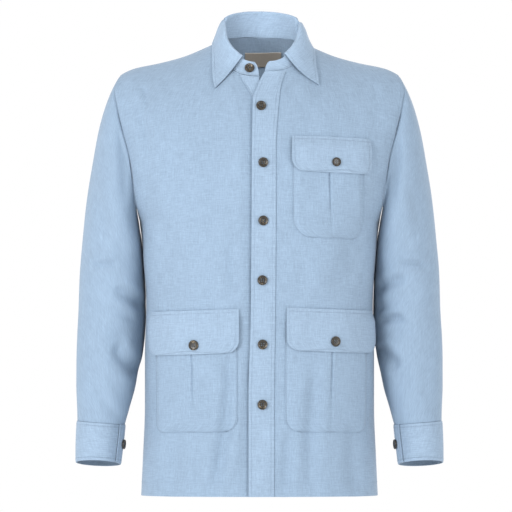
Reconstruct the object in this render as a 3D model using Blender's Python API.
"""Bush jacket, filled out and hollow: every cut piece is a thin closed wall of cloth.

Sizes are in millimetres and are turned into metres as each mesh is made. X runs to the wearer's
left, Y to the back and Z up. The origin is between the shoulders, at the base of the neck.
"""

from collections import namedtuple
from math import pi, radians

import bmesh
import bpy
import numpy as np
from mathutils import Matrix, Vector

MM = 0.001

# Cloth and seams
WALL = 1.2
SEAM_GAP = 0.3
LAID_ON = 0.7
PATCH_ON = 0.95
UNDERLAP_DROP = 3.9
UNDERLAP_SHARE = (1.0, 1.0, 1.0, 0.5)
UNDERLAP_EASE = 10.0
PLACKET_TOP_GAP = 1.5
# Two walls share their seam's normal fully from this cosine on, and not at all below the other
MITRE_NONE = -0.2
MITRE_FULL = 0.3

# Levels
HEM_Z = -704.0
UNDERARM_Z = -270.0
CHEST_LINE_Z = -110.0
DOME_FOOT_Z = -190.0

# Shoulders and neck
RIDGE_Y = 5.0
SHOULDER_TIP_X = 224.0
NECK_CENTRE_X = 4.0
NECK_HALF_WIDTH = 64.0
BACK_NECK_RISE = 6.0
ROUNDNESS = 2.4
DOME_RISE = 1.8
DOME_TURN = 1.4
NECK_SQUARENESS = 2.8

# Mesh counts
NECK_COLUMNS = 5
BACK_NECK_COLUMNS = 8
SHOULDER_COLUMNS = 8
SKIRT_ROWS = 14
ARMHOLE_ROWS = 6
PLACKET_ROWS_ABOVE_CHEST = 5
PLACKET_COLUMNS = 3
# How many places a curve is read at before it is shared out evenly
READINGS = 400
YOKE_STEPS = (0.0, 0.22, 0.43, 0.62, 0.79, 0.92, 1.0)

Level = namedtuple("Level", "z half_width front_depth back_depth")
BODY = (
    Level(HEM_Z, 190, 128, 128),
    Level(-640, 187, 129, 126),
    Level(-560, 184, 131, 122),
    Level(-480, 184, 134, 118),
    Level(-400, 182, 136, 112),
    Level(-330, 186, 138, 116),
    Level(UNDERARM_Z, 192, 139, 122),
    Level(-235, 206, 139, 122),
    Level(-166, 222, 139, 122),
    Level(-122, 236, 138, 122),
    Level(-54, 260, 138, 122),
    Level(60, 266, 138, 122),
)
Ridge = namedtuple("Ridge", "x z")
SHOULDER = (
    Ridge(0, 60),
    Ridge(30, 48),
    Ridge(60, 27),
    Ridge(77, 19),
    Ridge(97, 10),
    Ridge(122, 0),
    Ridge(159, -10),
    Ridge(201, -19),
    Ridge(SHOULDER_TIP_X, -29),
)
Scye = namedtuple("Scye", "z x")
ARMHOLE = (
    Scye(UNDERARM_Z, 192),
    Scye(-235, 199),
    Scye(-166, 208),
    Scye(-122, 219),
    Scye(-80, 229),
    Scye(-54, 233),
    Scye(-29, SHOULDER_TIP_X),
)
# Front edges: the left front laps over the right one
Edge = namedtuple("Edge", "z over under fold stand")
FRONT_EDGE = (
    Edge(HEM_Z, -17.5, 14, 23.2, -14),
    Edge(-550, -17.4, 14, 23.2, -14),
    Edge(-400, -13.5, 14, 25.0, -12),
    Edge(-230, -12.5, 14, 26.0, -11),
    Edge(-150, -12.0, 14, 26.0, -11),
    Edge(-70, -10.5, 11, 31.2, -11),
    Edge(-50, -3.5, 5, 33.6, -20),
    Edge(-38, 1.0, 1.1, 37.0, -28),
    Edge(-24, 9.0, -1.6, 42.0, -34),
)
LEFT_NECK_Z = -24.0
RIGHT_NECK_Z = -30.0

# Sleeve rings: outermost and innermost point, middle and half depth from front to back
Ring = namedtuple("Ring", "outer_x outer_z inner_x inner_z middle_y half_depth")
SLEEVE = (
    Ring(224, -29, 192, -270, -1, 60),
    Ring(238, -56, 194.5, -277, 1, 66),
    Ring(250, -88, 194.5, -287, 3, 70),
    Ring(259, -122, 193.5, -298, 5, 73),
    Ring(267, -166, 191.5, -316, 8, 75),
    Ring(276, -220, 189, -342, 12, 74),
    Ring(284, -290, 186.5, -376, 15, 71),
    Ring(289, -350, 185.5, -412, 16, 67),
    Ring(291, -410, 186.5, -446, 14, 63),
    Ring(293, -450, 188.5, -473, 10, 60),
    Ring(294, -490, 194, -503, 4, 57),
    Ring(294, -525, 200, -533, -4, 54),
    Ring(293, -555, 208, -561, -12, 49),
    Ring(292, -584, 216, -590, -20, 44),
)
ARMHOLE_PULL = (1.0, 0.62, 0.34, 0.15, 0.04)
CUFF = (
    Ring(293.5, -584, 214.5, -590, -20, 46),
    Ring(294.5, -606, 216.5, -611, -26, 44),
    Ring(295, -628, 219, -632, -31, 42),
    Ring(295, -650, 221.5, -653, -36, 40),
)
CUFF_EDGE_ANGLE = radians(142)
CUFF_LAP = radians(38)
CUFF_EASE = radians(34)
CUFF_COLUMNS = 30
CUFF_DROP = 2.4
CUFF_BUTTON_ANGLE = radians(166)

# Collar stand: how far its top rises on either side and leans in, from its front end by the neck
# point to the centre back
Stand = namedtuple("Stand", "at right_rise left_rise lean_x lean_y")
STAND = (
    Stand(0.0, 22, 15, 0.0, 12),
    Stand(0.2, 23, 17.5, 1.5, 12),
    Stand(0.4, 24, 22, 3.0, 12),
    Stand(0.6, 25, 25, 4.5, 11),
    Stand(0.8, 26, 26, 5.0, 9),
    Stand(1.0, 27, 27, 4.0, 2),
    Stand(1.5, 34, 34, 3.0, -3),
    Stand(2.0, 37, 37, 0.0, -5),
)
STAND_WALL = 1.5
STAND_LAID_ON = 0.35
STAND_STRIP = 0.9
STRIP_TOP_GAP = 2.5
STAND_STEPS = (0.0, 0.4, 0.75, 1.0)
STAND_END_ROUND = 9.0
STAND_END_FLAT = 0.98
STAND_SEAM_ROOM = 0.35
LEAF_WALL = 1.2
LEAF_COLUMNS_A_SIDE = 4
# Where the leaf starts along the neck, and how far its front edge bows towards the centre
LEAF_END_RIGHT = 0.38
LEAF_END_LEFT = 0.29
LEAF_BOW_RIGHT = 2.5
LEAF_BOW_LEFT = 6.0
# The leaf's roll over the stand's top, from inside to outside, then its fall to the lower edge
Roll = namedtuple("Roll", "rise out")
ROLL = (Roll(2.0, 0.0), Roll(4.0, 0.2), Roll(5.4, 2.0), Roll(4.0, 4.8))
Drape = namedtuple("Drape", "step swell")
DRAPE = (Drape(0.3, 1.5), Drape(0.65, 0.5), Drape(1.0, 0.0))
# Lower edge of the leaf: right and left side, by the same places along the neck
Fall = namedtuple("Fall", "at right_x right_z left_x left_z")
LEAF_EDGE = (
    Fall(LEAF_END_LEFT, -71, -53, 94.6, -47.7),
    Fall(LEAF_END_RIGHT, -71, -53, 93, -34),
    Fall(0.44, -74, -40, 91.5, -28),
    Fall(0.6, -75, -18, 89, -8),
    Fall(0.8, -75, 5, 88, 6),
    Fall(1.0, -75, 19.5, 82, 16.5),
    Fall(1.25, -69, 14, 77, 12),
    Fall(1.5, -52, 14, 60, 13),
    Fall(1.75, -27, 16, 35, 16),
    Fall(2.0, 4, 17, 4, 17),
)
LEAF_LIFT = 2.3

# Patches: side and near and far edge from the centre, top, bottom, slope outwards, corner radius
Patch = namedtuple("Patch", "name side near far top bottom tilt corner")
POCKETS = (
    Patch("pocket_chest", 1, 52.6, 166, -142, -289, 0.045, 30),
    Patch("pocket_left", 1, 40.5, 171, -424, -600, 0.02, 22),
    Patch("pocket_right", -1, 35, 166, -424, -600, 0.02, 22),
)
FLAPS = (
    Patch("flap_chest", 1, 51.5, 177, -128, -184, 0.045, 20),
    Patch("flap_left", 1, 43, 180, -402, -470, 0.04, 20),
    Patch("flap_right", -1, 32.5, 172, -404, -474, 0.04, 20),
)
PATCH_COLUMNS = 12
PATCH_ROW_CROWDING = 0.8
FAR_CORNER_SHARE = 0.55
POCKET_ROWS = 8
FLAP_ROWS = 6
PLEAT_HALF = 1.6
PLEAT_DEPTH = 1.2
POCKET_WALL = 1.2
POCKET_LOFT = 1.3
FLAP_WALL = 1.4
FLAP_LOFT = 3.9
FLAP_LIFT_SHARE = 0.3

Button = namedtuple("Button", "name x z diameter")
FRONT_BUTTONS = (
    Button("button_front_1", 2.4, -81.1, 15.8),
    Button("button_front_2", 6.0, -171.2, 15.8),
    Button("button_front_3", 6.0, -263.4, 15.8),
    Button("button_front_4", 4.6, -358.4, 15.8),
    Button("button_front_5", 5.0, -460.8, 15.8),
    Button("button_front_6", 4.6, -556.8, 15.8),
)
FLAP_BUTTONS = (
    Button("button_chest", 120.5, -170.7, 14.4),
    Button("button_pocket_left", 117.8, -456.2, 16.4),
    Button("button_pocket_right", -102.6, -462.1, 16.4),
)
COLLAR_BUTTON_AT = 0.2
COLLAR_BUTTON_UP = 0.5
BUTTON_DIAMETER = 15.8
BUTTON_SIDES = 12
# A button's back is flat, so it stands a little off a rounded band
BUTTON_SEAT = 0.4
BAND_ROOM = 0.1
COLLAR_ROOM = 0.4
CUFF_ROOM = 0.5
CUFF_BUTTON_REACH = 0.1
HOLE_PITCH = 1.75
HOLE_RADIUS = 0.95
HOLE_SIDES = 4
DRILL_DEPTH = 8.0
# A button's half section, from the dished face over the rim to the back
Turned = namedtuple("Turned", "share height")
BUTTON_PROFILE = (Turned(0.60, 1.7), Turned(0.78, 2.7), Turned(1.0, 2.1), Turned(0.9, 0.0))

LABEL_LEFT = -24.0
LABEL_RIGHT = 36.0
LABEL_TOP = 9.0
LABEL_BOTTOM = -14.0
LABEL_COLUMNS = 4
LABEL_ROWS = 2
LABEL_DEPTH = 3.3
LABEL_WALL = 0.8

Finish = namedtuple("Finish", "colour roughness")
CLOTH = Finish((0.43, 0.58, 0.76), 0.85)
CLOTH_DOUBLE = Finish((0.46, 0.61, 0.79), 0.85)
HORN = Finish((0.045, 0.035, 0.028), 0.35)
LABEL_CLOTH = Finish((0.30, 0.27, 0.23), 0.7)


def curve(knots, values):
    """A smooth reading of a table: monotone cubic, held level past both ends."""
    x = np.array(knots, float)
    y = np.array(values, float)
    slope = np.diff(y) / np.diff(x)
    grade = np.concatenate([slope[:1], np.zeros(len(x) - 2), slope[-1:]])
    for i in range(1, len(x) - 1):
        before, after = slope[i - 1], slope[i]
        if before * after > 0:
            grade[i] = 2 * before * after / (before + after)

    def read(at):
        at = np.clip(at, x[0], x[-1])
        i = np.clip(np.searchsorted(x, at, side="right") - 1, 0, len(x) - 2)
        span = x[i + 1] - x[i]
        t = (at - x[i]) / span
        held = (1 + 2 * t) * (1 - t) ** 2 * y[i] + t * t * (3 - 2 * t) * y[i + 1]
        bent = t * (1 - t) ** 2 * grade[i] - t * t * (1 - t) * grade[i + 1]
        return held + bent * span

    return read


def column(table, name):
    return [getattr(row, name) for row in table]


half_width = curve(column(BODY, "z"), column(BODY, "half_width"))
front_depth = curve(column(BODY, "z"), column(BODY, "front_depth"))
back_depth = curve(column(BODY, "z"), column(BODY, "back_depth"))
ridge_z = curve(column(SHOULDER, "x"), column(SHOULDER, "z"))
armhole_x = curve(column(ARMHOLE, "z"), column(ARMHOLE, "x"))
over_edge = curve(column(FRONT_EDGE, "z"), column(FRONT_EDGE, "over"))
under_edge = curve(column(FRONT_EDGE, "z"), column(FRONT_EDGE, "under"))
placket_fold = curve(column(FRONT_EDGE, "z"), column(FRONT_EDGE, "fold"))
stand_line = curve(column(FRONT_EDGE, "z"), column(FRONT_EDGE, "stand"))


def unit(vectors):
    length = np.linalg.norm(vectors, axis=-1, keepdims=True)
    return vectors / np.maximum(length, 1e-9)


def eased(t):
    t = np.clip(t, 0, 1)
    return t * t * (3 - 2 * t)


def body_points(x, z, side):
    """Points of the body at x and z: side -1 is the front of it and +1 the back."""
    x, z = np.broadcast_arrays(np.asarray(x, float), np.asarray(z, float))
    across = np.clip(np.abs(x) / half_width(z), 0, 1)
    depth = front_depth(z) if side < 0 else back_depth(z)
    reach = depth * (1 - across**ROUNDNESS) ** (1 / ROUNDNESS)
    rise = np.clip((z - DOME_FOOT_Z) / (ridge_z(np.abs(x)) - DOME_FOOT_Z), 0, 1)
    dome = (1 - rise**DOME_RISE) ** (1 / DOME_TURN)
    y = RIDGE_Y + side * (reach - side * RIDGE_Y) * dome
    return np.stack([x, y, z], axis=-1)


def body_normals(x, z, side, step=0.5):
    x, z = np.broadcast_arrays(np.asarray(x, float), np.asarray(z, float))
    along_x = body_points(x + step, z, side) - body_points(x - step, z, side)
    along_z = body_points(x, z + step, side) - body_points(x, z - step, side)
    return -side * unit(np.cross(along_x, along_z))


def on_body(x, z, side, out):
    """Points moved out from the body by the distance given."""
    base = body_points(x, z, side)
    return base + body_normals(x, z, side) * np.asarray(out, float)[..., None]


def even_across(z, start_x, end_x, count):
    """x places an even distance apart round the body at one level."""
    width = half_width(z)
    turn = [np.sign(e) * np.arcsin(min(abs(e) / width, 1) ** (ROUNDNESS / 2)) for e in (start_x, end_x)]
    fine = np.linspace(turn[0], turn[1], READINGS)
    x = width * np.sign(fine) * np.abs(np.sin(fine)) ** (2 / ROUNDNESS)
    y = front_depth(z) * np.abs(np.cos(fine)) ** (2 / ROUNDNESS)
    run = np.concatenate([[0], np.cumsum(np.hypot(np.diff(x), np.diff(y)))])
    return np.interp(np.linspace(0, run[-1], count + 1), run, x)


def front_neckline(edge_x, edge_z, point_x, count):
    turn = np.linspace(0, pi / 2, count + 1)
    point_z = ridge_z(abs(point_x))
    x = edge_x + (point_x - edge_x) * np.sin(turn) ** (2 / NECK_SQUARENESS)
    z = point_z - (point_z - edge_z) * np.abs(np.cos(turn)) ** (2 / NECK_SQUARENESS)
    x[-1], z[-1] = point_x, point_z
    return np.stack([x, z], axis=-1)


def underlap_neckline(point_x):
    """The right front's neckline, with its first places on the button stand's columns."""
    fine = front_neckline(under_edge(LEFT_NECK_Z), RIGHT_NECK_Z, point_x, READINGS)
    x = np.array(underlap_x(RIGHT_NECK_Z) + [point_x])
    x[0] = fine[0, 0]
    z = np.interp(-x, -fine[:, 0], fine[:, 1])
    return np.stack([x, z], axis=-1)


def back_neckline(count):
    turn = np.linspace(0, pi, count + 1)
    x = NECK_CENTRE_X - NECK_HALF_WIDTH * np.cos(turn)
    ends = ridge_z(np.abs(x[[0, -1]]))
    z = np.linspace(ends[0], ends[1], count + 1) + BACK_NECK_RISE * np.sin(turn)
    return np.stack([x, z], axis=-1)


def shoulder_line(neck_x, tip_x, count):
    x = np.linspace(neck_x, tip_x, count + 1)
    return np.stack([x, ridge_z(np.abs(x))], axis=-1)


def level_rows():
    skirt = np.linspace(HEM_Z, UNDERARM_Z, SKIRT_ROWS + 1)
    return np.concatenate([skirt, np.linspace(UNDERARM_Z, CHEST_LINE_Z, ARMHOLE_ROWS + 1)[1:]])


def side_x(z, side):
    return side * (half_width(z) if z <= UNDERARM_Z else armhole_x(z))


def yoke_rows(level_x, top, start_edge, end_edge):
    """Rows of x and z from the chest line to the neck and shoulder, between given side curves."""
    bottom = np.stack([level_x, np.full(len(level_x), CHEST_LINE_Z)], axis=-1)
    across = np.linspace(0, 1, len(level_x))[:, None]
    rows = []
    for step in YOKE_STEPS[1:]:
        row = bottom + (top - bottom) * step
        for weight, edge, corner in ((1 - across, start_edge, 0), (across, end_edge, -1)):
            if edge is not None and step < 1:
                z = row[corner, 1]
                row = row + weight * np.array([edge(z) - row[corner, 0], 0])
        rows.append(row)
    return rows


def panel_plan(top, start, end):
    """Every row of a body panel as x and z pairs. start and end give x at a level."""
    rows = []
    for z in level_rows():
        x = even_across(z, start(z), end(z), len(top) - 1)
        rows.append(np.stack([x, np.full(len(x), z)], axis=-1))
    return np.array(rows + yoke_rows(rows[-1][:, 0], top, start, end))


def underlap_x(z):
    """x of the right front's columns that lie under the left one and come out from under it."""
    edge, line = under_edge(z), stand_line(z)
    return [edge, (edge + line) / 2, line, line - UNDERLAP_EASE, line - 2 * UNDERLAP_EASE]


def right_front_plan(top):
    """The right front's rows: its first columns follow the button stand."""
    rows = []
    for z in level_rows():
        near = underlap_x(z)
        far = even_across(z, near[-1], side_x(z, -1), len(top) - len(near))
        x = np.concatenate([near[:-1], far])
        rows.append(np.stack([x, np.full(len(x), z)], axis=-1))
    upper = yoke_rows(rows[-1][:, 0], top, under_edge, lambda z: side_x(z, -1))
    for row in upper[:-1]:
        for i in range(1, NECK_COLUMNS - 1):
            row[i, 0] = underlap_x(row[i, 1])[i]
    return np.array(rows + upper)


def grid_normals(points, around=False):
    """Normals of a grid of points, from the directions along its rows and columns."""
    if around:
        along = np.roll(points, -1, axis=1) - np.roll(points, 1, axis=1)
    else:
        along = np.gradient(points, axis=1)
    up = np.gradient(points, axis=0)
    return unit(np.cross(along, up))


def pulled(points, edge, gap=SEAM_GAP / 2):
    """The grid with one edge drawn back by the gap, towards the row or column beside it."""
    points = points.copy()
    line = {"bottom": (0, 1), "top": (-1, -2)}.get(edge)
    if line:
        points[line[0]] += gap * unit(points[line[1]] - points[line[0]])
    else:
        first, second = {"start": (0, 1), "end": (-1, -2)}[edge]
        points[:, first] += gap * unit(points[:, second] - points[:, first])
    return points


def mitred(normals, others):
    """Normals shared by two walls where their seam stands out, and left apart where it goes in."""
    cosine = np.sum(normals * others, axis=-1, keepdims=True)
    share = np.clip((cosine - MITRE_NONE) / (MITRE_FULL - MITRE_NONE), 0, 1)
    return unit(normals + share * others), unit(others + share * normals)


def finish_material(name, finish):
    material = bpy.data.materials.new(name)
    material.use_nodes = True
    shader = material.node_tree.nodes["Principled BSDF"]
    shader.inputs["Base Color"].default_value = (*finish.colour, 1)
    shader.inputs["Roughness"].default_value = finish.roughness
    shader.inputs["Metallic"].default_value = 0
    return material


def add_object(name, mesh, finish):
    mesh.materials.clear()
    mesh.materials.append(finish_material(name, finish))
    piece = bpy.data.objects.new(name, mesh)
    bpy.context.scene.collection.objects.link(piece)
    return piece


def add_wall(name, outer, inner, finish, around=False):
    """A closed wall between two grids of points."""
    rows, columns = outer.shape[:2]
    shell = bmesh.new()
    faces = []
    layers = [[[shell.verts.new(Vector(p) * MM) for p in row] for row in grid] for grid in (outer, inner)]
    last = columns if around else columns - 1
    for r in range(rows - 1):
        for c in range(last):
            d = (c + 1) % columns
            for grid in layers:
                faces.append((grid[r][c], grid[r][d], grid[r + 1][d], grid[r + 1][c]))
    front, back = layers
    for r in (0, rows - 1):
        for c in range(last):
            d = (c + 1) % columns
            faces.append((front[r][c], front[r][d], back[r][d], back[r][c]))
    if not around:
        for c in (0, columns - 1):
            for r in range(rows - 1):
                faces.append((front[r][c], front[r + 1][c], back[r + 1][c], back[r][c]))
    for corners in faces:
        shell.faces.new(corners)
    bmesh.ops.recalc_face_normals(shell, faces=shell.faces)
    mesh = bpy.data.meshes.new(name)
    shell.to_mesh(mesh)
    shell.free()
    return add_object(name, mesh, finish)


def body_panels():
    """Raw outer grids and normals of the two fronts and the back, before seams are parted."""
    left_neck = NECK_CENTRE_X + NECK_HALF_WIDTH
    right_neck = NECK_CENTRE_X - NECK_HALF_WIDTH
    left_top = np.concatenate([
        front_neckline(over_edge(LEFT_NECK_Z), LEFT_NECK_Z, left_neck, NECK_COLUMNS),
        shoulder_line(left_neck, SHOULDER_TIP_X, SHOULDER_COLUMNS)[1:],
    ])
    right_top = np.concatenate([
        underlap_neckline(right_neck),
        shoulder_line(right_neck, -SHOULDER_TIP_X, SHOULDER_COLUMNS)[1:],
    ])
    back_top = np.concatenate([
        shoulder_line(right_neck, -SHOULDER_TIP_X, SHOULDER_COLUMNS)[::-1],
        back_neckline(BACK_NECK_COLUMNS)[1:-1],
        shoulder_line(left_neck, SHOULDER_TIP_X, SHOULDER_COLUMNS),
    ])
    left = panel_plan(left_top, over_edge, lambda z: side_x(z, 1))
    right = right_front_plan(right_top)
    back = panel_plan(back_top, lambda z: side_x(z, -1), lambda z: side_x(z, 1))
    grids = {
        "front_left": body_points(left[..., 0], left[..., 1], -1),
        "back": body_points(back[..., 0], back[..., 1], 1),
    }
    drop = np.zeros(right.shape[:2])
    drop[:, : len(UNDERLAP_SHARE)] = -UNDERLAP_DROP * np.array(UNDERLAP_SHARE)
    grids["front_right"] = on_body(right[..., 0], right[..., 1], -1, drop)
    # The side and armhole column has no x slope to read, and no drop either
    grids["front_right"][:, -1] = body_points(right[:, -1, 0], right[:, -1, 1], -1)
    normals = {
        "front_left": grid_normals(grids["front_left"]),
        "front_right": -grid_normals(grids["front_right"]),
        "back": -grid_normals(grids["back"]),
    }
    return grids, normals


def ring_points(ring, turns, side):
    """An ellipse through a sleeve ring's outermost and innermost points."""
    middle = np.array([ring.outer_x + ring.inner_x, 2 * ring.middle_y, ring.outer_z + ring.inner_z]) / 2
    reach = np.array([ring.outer_x - ring.inner_x, 0, ring.outer_z - ring.inner_z]) / 2
    points = middle + np.cos(turns)[:, None] * reach
    points[:, 1] -= np.sin(turns) * ring.half_depth
    points[:, 0] *= side
    return points


def sleeve_grid(loop, side):
    """Rings from the armhole to the cuff seam. The first one is the armhole itself."""
    turns = np.linspace(0, 2 * pi, len(loop), endpoint=False)
    strain = loop - ring_points(SLEEVE[0], turns, side)
    rings = []
    for ring, pull in zip(SLEEVE, ARMHOLE_PULL + (0.0,) * len(SLEEVE)):
        rings.append(ring_points(ring, turns, side) + pull * strain)
    return np.array(rings)


def armhole_loop(front, back):
    """Down the front from the shoulder tip to the underarm, then up the back."""
    upper = slice(SKIRT_ROWS, None)
    return np.concatenate([front[upper][::-1], back[upper][1:-1]])


def make_body_and_sleeves():
    """The three body panels and two sleeves. Returns the neckline for the collar stand."""
    grids, normals = body_panels()
    neck = slice(0, NECK_COLUMNS + 1)
    back_neck = slice(SHOULDER_COLUMNS, SHOULDER_COLUMNS + BACK_NECK_COLUMNS + 1)
    neckline = np.concatenate([
        grids["front_right"][-1, neck],
        grids["back"][-1, back_neck][1:-1],
        grids["front_left"][-1, neck][::-1],
    ])
    for name, side, column_at in (("front_left", 1, -1), ("front_right", -1, 0)):
        # Side seam and armhole, then shoulder seam
        seam = slice(None, SKIRT_ROWS + 1)
        shared = unit(normals[name][seam, -1] + normals["back"][seam, column_at])
        normals[name][seam, -1] = shared
        normals["back"][seam, column_at] = shared
        run = slice(NECK_COLUMNS, None)
        back_run = slice(SHOULDER_COLUMNS, None, -1)
        if side > 0:
            back_run = slice(SHOULDER_COLUMNS + BACK_NECK_COLUMNS, None)
        shared = unit(normals[name][-1, run] + normals["back"][-1, back_run])
        normals[name][-1, run] = shared
        normals["back"][-1, back_run] = shared

        loop = armhole_loop(grids[name][:, -1], grids["back"][:, column_at])
        loop_normals = armhole_loop(normals[name][:, -1], normals["back"][:, column_at])
        rings = sleeve_grid(loop, side)
        ring_normals = side * grid_normals(rings, around=True)
        body_share, sleeve_share = mitred(loop_normals, ring_normals[0])
        ring_normals[0] = sleeve_share
        count = len(YOKE_STEPS) + ARMHOLE_ROWS
        normals[name][SKIRT_ROWS:, -1] = body_share[:count][::-1]
        normals["back"][SKIRT_ROWS + 1 : -1, column_at] = body_share[count:]
        normals["back"][[SKIRT_ROWS, -1], column_at] = body_share[[count - 1, 0]]
        rings = pulled(rings, "bottom")
        sleeve = "sleeve_left" if side > 0 else "sleeve_right"
        add_wall(sleeve, rings, rings - WALL * ring_normals, CLOTH, around=True)
    for name, grid in grids.items():
        edges = ("top", "end") if name != "back" else ("top", "start", "end")
        outer = grid
        for edge in edges:
            outer = pulled(outer, edge)
        add_wall(name, outer, outer - WALL * normals[name], CLOTH)
    stand_columns = slice(0, len(UNDERLAP_SHARE) - 1)
    base = grids["front_right"][:, stand_columns]
    out = unit(normals["front_right"][:, stand_columns])
    base = pulled(pulled(base, "top", STRIP_TOP_GAP), "start", SEAM_GAP)
    inner = base + STAND_LAID_ON * out
    add_wall("button_stand", inner + STAND_STRIP * out, inner, CLOTH_DOUBLE)
    return neckline


def make_cuff(side):
    """A strip that goes once round the wrist and on under its own end."""
    angles = np.linspace(CUFF_EDGE_ANGLE, CUFF_EDGE_ANGLE + 2 * pi + CUFF_LAP, CUFF_COLUMNS + 1)
    left = angles[-1] - angles
    drop = CUFF_DROP * eased((CUFF_LAP + CUFF_EASE - left) / CUFF_EASE)
    grid = np.array([ring_points(ring, angles, side) for ring in CUFF])
    normals = side * grid_normals(grid)
    grid = grid - drop[None, :, None] * normals
    grid[..., 2] -= SEAM_GAP
    name = "cuff_left" if side > 0 else "cuff_right"
    add_wall(name, grid, grid - WALL * normals, CLOTH_DOUBLE)


def two_sided(table, places, right, left):
    """Reads a table along the neck, with one column for each side of the centre back."""
    mirror = np.where(places <= 2, places, 4 - places)
    sides = [curve(column(table, "at"), column(table, name))(mirror) for name in (right, left)]
    return np.where(places <= 2, *sides)


def stand_top(neckline):
    """The stand's top edge: one point above each point of the neckline, and its direction."""
    # Places run 0 to 1 along the right neckline, to 3 round the back and to 4 along the left one
    run = np.linspace(0, 1, NECK_COLUMNS + 1)
    places = np.concatenate([run, 1 + np.linspace(0, 2, BACK_NECK_COLUMNS + 1)[1:-1], 3 + run])
    mirror = np.where(places <= 2, places, 4 - places)
    rise = two_sided(STAND, places, "right_rise", "left_rise")
    lean_x = curve(column(STAND, "at"), column(STAND, "lean_x"))(mirror) * np.where(places <= 2, 1, -1)
    lean_y = curve(column(STAND, "at"), column(STAND, "lean_y"))(mirror)
    return places, neckline + np.stack([lean_x, lean_y, rise], axis=-1)


def leaf_places():
    """Where the leaf's columns stand along the neck, from its right end round to its left end."""
    right = np.linspace(LEAF_END_RIGHT, 1, LEAF_COLUMNS_A_SIDE + 1)
    left = 4 - np.linspace(1, LEAF_END_LEFT, LEAF_COLUMNS_A_SIDE + 1)
    return np.concatenate([right, 1 + np.linspace(0, 2, BACK_NECK_COLUMNS + 1)[1:-1], left])


def leaf_sheet(places, top, neckline):
    """The leaf's middle sheet: its roll over the stand, then its fall over the shoulders."""
    at = leaf_places()
    ridge = np.stack([np.interp(at, places, top[:, i]) for i in range(3)], axis=-1)
    foot = np.stack([np.interp(at, places, neckline[:, i]) for i in range(3)], axis=-1)
    up = unit(ridge - foot)
    out = unit(np.cross(up, unit(np.gradient(ridge, axis=0))))
    middle = ridge - out * STAND_WALL / 2
    x = two_sided(LEAF_EDGE, at, "right_x", "left_x")
    z = two_sided(LEAF_EDGE, at, "right_z", "left_z")
    lift = np.full(len(at), LEAF_LIFT)
    over_front = np.where(at <= 2, at, 4 - at) <= 1
    edge = np.where(over_front[:, None], on_body(x, z, -1, lift), on_body(x, z, 1, lift))
    sheet = [middle + up * roll.rise + out * roll.out for roll in ROLL]
    start = sheet[-1]
    # Towards the centre in the fall's own plane, at full strength on the leaf's two front edges
    bow = LEAF_BOW_RIGHT * eased((1 - at) / (1 - LEAF_END_RIGHT))
    bow = bow - LEAF_BOW_LEFT * eased((at - 3) / (1 - LEAF_END_LEFT))
    aside = unit(np.cross(out, edge - start)) * bow[:, None]
    for drape in DRAPE:
        bowed = out * drape.swell + aside * np.sin(pi * drape.step)
        sheet.append(start + (edge - start) * drape.step + bowed)
    return np.array(sheet)


def make_collar(neckline):
    """The stand and the leaf. Returns the stand's grid and its outward normals."""
    places, top = stand_top(neckline)
    grid = np.array([neckline + (top - neckline) * step for step in STAND_STEPS])
    normals = -grid_normals(grid)
    # Round the two front ends off towards the top
    for step, row in zip(STAND_STEPS, grid):
        back_by = STAND_END_ROUND * (1 - np.sqrt(1 - step**2 * STAND_END_FLAT))
        for end, beside in ((0, 1), (-1, -2)):
            row[end] += back_by * unit(row[beside] - row[end])
    lifted = grid.copy()
    lifted[0] += (SEAM_GAP + STAND_SEAM_ROOM) * unit(top - neckline)
    add_wall("collar_stand", lifted, lifted - STAND_WALL * normals, CLOTH_DOUBLE)
    sheet = leaf_sheet(places, top, neckline)
    half = grid_normals(sheet) * LEAF_WALL / 2
    add_wall("collar_leaf", sheet + half, sheet - half, CLOTH_DOUBLE)
    return grid, -grid_normals(grid)


def make_placket():
    """The folded band down the left front's edge."""
    top = LEFT_NECK_Z - PLACKET_TOP_GAP
    upper = np.linspace(CHEST_LINE_Z, top, PLACKET_ROWS_ABOVE_CHEST + 1)[1:]
    rows = np.concatenate([level_rows(), upper])
    plan = np.array([np.linspace(over_edge(z), placket_fold(z), PLACKET_COLUMNS + 1) for z in rows])
    levels = np.repeat(rows[:, None], PLACKET_COLUMNS + 1, axis=1)
    inner = on_body(plan, levels, -1, np.full(plan.shape, LAID_ON))
    outer = on_body(plan, levels, -1, np.full(plan.shape, LAID_ON + WALL))
    add_wall("front_placket", outer, inner, CLOTH_DOUBLE)


def patch_plan(patch, columns, rows):
    """x and z of a pocket or flap with its two lower corners rounded."""
    down = np.linspace(0, 1, rows + 1) ** PATCH_ROW_CROWDING
    height = patch.top - patch.bottom
    plan = []
    for part in down:
        z = patch.top - part * height
        above = z - patch.bottom
        cut = patch.corner - np.sqrt(max(patch.corner**2 - max(patch.corner - above, 0) ** 2, 0))
        far = patch.far - cut * FAR_CORNER_SHARE
        near = patch.near + cut
        x = even_across(z, near, far, columns)
        plan.append(np.stack([x, z - patch.tilt * (x - patch.near)], axis=-1))
    plan = np.array(plan)
    plan[..., 0] *= patch.side
    return plan


def make_pocket(patch):
    plan = patch_plan(patch, PATCH_COLUMNS, POCKET_ROWS)
    # Three columns stand close together at the pleat
    middle = PATCH_COLUMNS // 2
    centre = plan[:, middle, 0].copy()
    plan[:, middle - 1, 0] = centre - PLEAT_HALF * patch.side
    plan[:, middle + 1, 0] = centre + PLEAT_HALF * patch.side
    x, z = plan[..., 0], plan[..., 1]
    rows, columns = x.shape
    loft = np.full((rows, columns), PATCH_ON + POCKET_WALL)
    loft[:-1, 1:-1] += POCKET_LOFT
    loft[:-1, middle] -= PLEAT_DEPTH
    inner = on_body(x, z, -1, np.full((rows, columns), PATCH_ON))
    add_wall(patch.name, on_body(x, z, -1, loft), inner, CLOTH)


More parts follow.
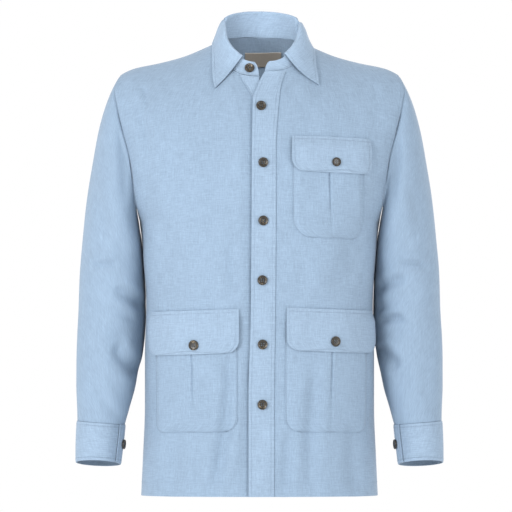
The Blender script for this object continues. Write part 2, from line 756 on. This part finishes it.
def make_flap(patch):
    plan = patch_plan(patch, PATCH_COLUMNS, FLAP_ROWS)
    x, z = plan[..., 0], plan[..., 1]
    rows, columns = x.shape
    fall = np.linspace(0, 1, rows) ** PATCH_ROW_CROWDING
    loft = PATCH_ON + FLAP_LOFT * eased(fall / FLAP_LIFT_SHARE)
    loft = np.repeat(loft[:, None], columns, axis=1)
    inner = on_body(x, z, -1, loft)
    outer = on_body(x, z, -1, loft + FLAP_WALL)
    add_wall(patch.name, outer, inner, CLOTH_DOUBLE)


def make_label():
    across = np.linspace(LABEL_LEFT, LABEL_RIGHT, LABEL_COLUMNS + 1)
    x, z = np.meshgrid(across, np.linspace(LABEL_BOTTOM, LABEL_TOP, LABEL_ROWS + 1))
    far = on_body(x, z, 1, np.full(x.shape, -LABEL_DEPTH))
    near = on_body(x, z, 1, np.full(x.shape, -LABEL_DEPTH - LABEL_WALL))
    add_wall("neck_label", far, near, LABEL_CLOTH)


def button_mesh():
    """A turned four-hole button with a raised rim, its back at z = 0 and its face up."""
    radius = BUTTON_DIAMETER / 2
    disc = bmesh.new()
    rings = []
    for turned in BUTTON_PROFILE:
        place = Matrix.Translation((0, 0, turned.height * MM))
        wide = turned.share * radius * MM
        made = bmesh.ops.create_circle(disc, segments=BUTTON_SIDES, radius=wide, matrix=place)
        rings.append(made["verts"])
    for upper, lower in zip(rings, rings[1:]):
        edges = [e for e in disc.edges if e.verts[0] in upper and e.verts[1] in upper]
        edges += [e for e in disc.edges if e.verts[0] in lower and e.verts[1] in lower]
        bmesh.ops.bridge_loops(disc, edges=edges)
    disc.faces.new(rings[0])
    disc.faces.new(rings[-1])
    bmesh.ops.recalc_face_normals(disc, faces=disc.faces)
    mesh = bpy.data.meshes.new("button blank")
    disc.to_mesh(mesh)
    disc.free()
    blank = bpy.data.objects.new("button blank", mesh)
    bpy.context.scene.collection.objects.link(blank)

    posts = bmesh.new()
    for across, along in ((1, 1), (1, -1), (-1, 1), (-1, -1)):
        place = Matrix.Translation(Vector((across, along, 1)) * HOLE_PITCH * MM)
        bmesh.ops.create_cone(
            posts, cap_ends=True, segments=HOLE_SIDES, radius1=HOLE_RADIUS * MM, radius2=HOLE_RADIUS * MM,
            depth=DRILL_DEPTH * MM, matrix=place,
        )
    drill_mesh = bpy.data.meshes.new("button drill")
    posts.to_mesh(drill_mesh)
    posts.free()
    drill = bpy.data.objects.new("button drill", drill_mesh)
    drill.hide_render = True
    drill.display_type = "WIRE"
    bpy.context.scene.collection.objects.link(drill)
    cut = blank.modifiers.new("holes", "BOOLEAN")
    cut.operation = "DIFFERENCE"
    cut.object = drill
    graph = bpy.context.evaluated_depsgraph_get()
    drilled = bpy.data.meshes.new_from_object(blank.evaluated_get(graph))
    bpy.data.objects.remove(blank)
    bpy.data.objects.remove(drill)
    return drilled


def place_button(mesh, name, seat, normal, diameter):
    piece = add_object(name, mesh.copy(), HORN)
    turn = Vector(normal).to_track_quat("Z", "Y").to_matrix().to_4x4()
    grow = Matrix.Scale(diameter / BUTTON_DIAMETER, 4)
    piece.matrix_world = Matrix.Translation(Vector(seat + normal * BUTTON_SEAT) * MM) @ turn @ grow


def make_buttons(stand_grid, stand_normals):
    mesh = button_mesh()
    for button in FRONT_BUTTONS:
        normal = body_normals(button.x, button.z, -1)
        seat = on_body(button.x, button.z, -1, LAID_ON + WALL + BAND_ROOM)
        place_button(mesh, button.name, seat, normal, button.diameter)
    for button in FLAP_BUTTONS:
        normal = body_normals(button.x, button.z, -1)
        seat = on_body(button.x, button.z, -1, PATCH_ON + FLAP_LOFT + FLAP_WALL + BAND_ROOM)
        place_button(mesh, button.name, seat, normal, button.diameter)
    along = COLLAR_BUTTON_AT * NECK_COLUMNS
    foot = [np.interp(along, range(stand_grid.shape[1]), stand_grid[0][:, i]) for i in range(3)]
    head = [np.interp(along, range(stand_grid.shape[1]), stand_grid[-1][:, i]) for i in range(3)]
    seat = np.array(foot) + (np.array(head) - np.array(foot)) * COLLAR_BUTTON_UP
    normal = unit(stand_normals[1][1])
    place_button(mesh, "button_collar", seat + COLLAR_ROOM * normal, normal, BUTTON_DIAMETER)
    for side, name in ((1, "button_cuff_left"), (-1, "button_cuff_right")):
        angles = CUFF_BUTTON_ANGLE + np.array([-CUFF_BUTTON_REACH, 0, CUFF_BUTTON_REACH])
        grid = np.array([ring_points(ring, angles, side) for ring in CUFF[1:3]])
        normal = unit(side * grid_normals(grid)[:, 1].mean(axis=0))
        place_button(mesh, name, grid[:, 1].mean(axis=0) + CUFF_ROOM * normal, normal, BUTTON_DIAMETER)
    bpy.data.meshes.remove(mesh)


def main():
    for thing in list(bpy.data.objects):
        bpy.data.objects.remove(thing)
    neckline = make_body_and_sleeves()
    stand_grid, stand_normals = make_collar(neckline)
    make_placket()
    for side in (1, -1):
        make_cuff(side)
    for patch in POCKETS:
        make_pocket(patch)
    for patch in FLAPS:
        make_flap(patch)
    make_label()
    make_buttons(stand_grid, stand_normals)


main()
